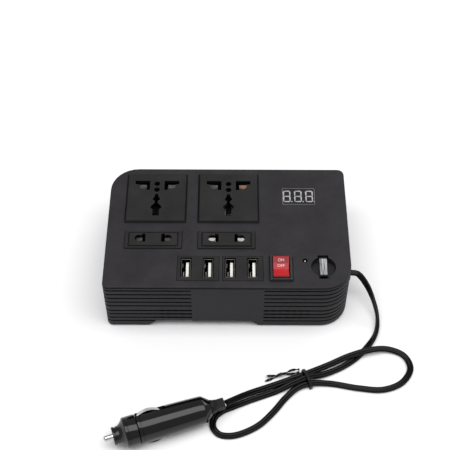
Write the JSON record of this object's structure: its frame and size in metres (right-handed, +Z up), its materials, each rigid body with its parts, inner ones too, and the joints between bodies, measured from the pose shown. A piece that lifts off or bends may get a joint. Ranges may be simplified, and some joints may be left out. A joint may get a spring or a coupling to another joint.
{
  "type": "power inverter",
  "caption": "Small car power inverter: universal, two-pin and USB sockets, red rocker, display and blade fuse on a grooved case, with a tied flat cord to an accessory-socket plug.",
  "frame": {"origin": "middle of the case's footprint, on the surface the case stands on", "axes": "+X along the case's long side towards the cord's exit, -Y towards the smooth front panel, +Z up"},
  "size_m": [0.2003, 0.1928, 0.0491],
  "materials": {
    "case_plastic": "fine matt moulded texture",
    "socket_plastic": "satin moulded",
    "switch_black": "semi gloss moulded",
    "rocker_red": "gloss translucent moulded",
    "tongue_white": "satin moulded",
    "contact_steel": "nickel plated strip",
    "contact_brass": "bare strip",
    "usb_steel": "folded nickel plated sheet",
    "plug_metal": "polished nickel plate",
    "clear_plastic": "clear moulded",
    "fuse_glass": "clear tube with metal ends",
    "display_black": "smoked window",
    "circuit_board": "lacquered board",
    "ferrite": "pressed core and tape",
    "aluminium": "extruded",
    "capacitor_sleeve": "shrunk sleeve",
    "fan_plastic": "moulded",
    "plug_gloss": "polished moulded",
    "cord_vinyl": "satin vinyl with two ribs",
    "tie_black": "coated wire"
  },
  "bodies": {
    "inverter": {"base_shell": "case_plastic", "top_cover": "case_plastic", "case_screw_1": "contact_steel", "case_screw_2": "contact_steel", "case_screw_3": "contact_steel", "case_screw_4": "contact_steel", "universal_socket_left": "socket_plastic", "universal_socket_right": "socket_plastic", "live_contact_left": "contact_steel", "live_contact_right": "contact_brass", "neutral_contact_left": "contact_steel", "neutral_contact_right": "contact_brass", "earth_contact_left": "contact_steel", "earth_contact_right": "contact_steel", "two_pin_socket_left": "socket_plastic", "two_pin_socket_right": "socket_plastic", "two_pin_contact_left_1": "contact_steel", "two_pin_contact_left_2": "contact_steel", "two_pin_contact_right_1": "contact_steel", "two_pin_contact_right_2": "contact_steel", "usb_frame_left": "socket_plastic", "usb_frame_right": "socket_plastic", "usb_shell_1": "usb_steel", "usb_shell_2": "usb_steel", "usb_shell_3": "usb_steel", "usb_shell_4": "usb_steel", "usb_tongue_1": "tongue_white", "usb_tongue_2": "tongue_white", "usb_tongue_3": "tongue_white", "usb_tongue_4": "tongue_white", "usb_board": "circuit_board", "switch_housing": "switch_black", "indicator_led": "clear_plastic", "display_module": "display_black", "fuse_holder": "socket_plastic", "fuse_clip_1": "contact_brass", "fuse_clip_2": "contact_brass", "fan_frame": "fan_plastic", "main_board": "circuit_board", "transformer": "ferrite", "heat_sink": "aluminium", "capacitor_1": "capacitor_sleeve", "capacitor_2": "capacitor_sleeve", "cord_grommet": "cord_vinyl", "power_cord": "cord_vinyl", "cord_tie": "tie_black", "tie_tail_1": "tie_black", "tie_tail_2": "tie_black", "plug_barrel": "plug_gloss", "plug_fuse": "fuse_glass", "plug_boot": "cord_vinyl"},
    "rocker": {"switch_rocker": "rocker_red"},
    "fuse": {"fuse_body": "clear_plastic", "fuse_element": "contact_steel"},
    "rotor": {"fan_rotor": "fan_plastic"},
    "plug_tip": {"plug_pin": "plug_metal"},
    "upper_leaf": {"plug_spring_upper": "plug_metal"},
    "lower_leaf": {"plug_spring_lower": "plug_metal"},
    "cap": {"plug_cap": "plug_gloss"}
  },
  "joints": [
    {"name": "rocker_tilt", "type": "hinge", "parent": "inverter", "child": "rocker", "pos_m": [0.0345, -0.0352, 0.042], "axis": [-1, 0, 0], "range_deg": [0, 10]},
    {"name": "fuse_lift", "type": "slide", "parent": "inverter", "child": "fuse", "axis": [0, 0, 1], "range_m": [0, 0.022]},
    {"name": "fan_spin", "type": "hinge", "parent": "inverter", "child": "rotor", "pos_m": [-0.016, 0.006, 0.014], "axis": [0, 0, 1], "continuous": true},
    {"name": "plug_cap_off", "type": "slide", "parent": "inverter", "child": "cap", "axis": [-0.9472, -0.3206, 0], "range_m": [0, 0.014]},
    {"name": "plug_pin_press", "type": "slide", "parent": "inverter", "child": "plug_tip", "axis": [0.9472, 0.3206, 0], "range_m": [0, 0.003], "stiffness_N_per_m": 600, "springref_m": -0.003},
    {"name": "upper_leaf_press", "type": "slide", "parent": "inverter", "child": "upper_leaf", "axis": [0.2018, -0.5961, -0.7771], "range_m": [0, 0.0016], "stiffness_N_per_m": 1500, "springref_m": -0.001},
    {"name": "lower_leaf_press", "type": "slide", "parent": "inverter", "child": "lower_leaf", "axis": [-0.2018, 0.5961, 0.7771], "range_m": [0, 0.0016], "stiffness_N_per_m": 1500, "springref_m": -0.001}
  ]
}
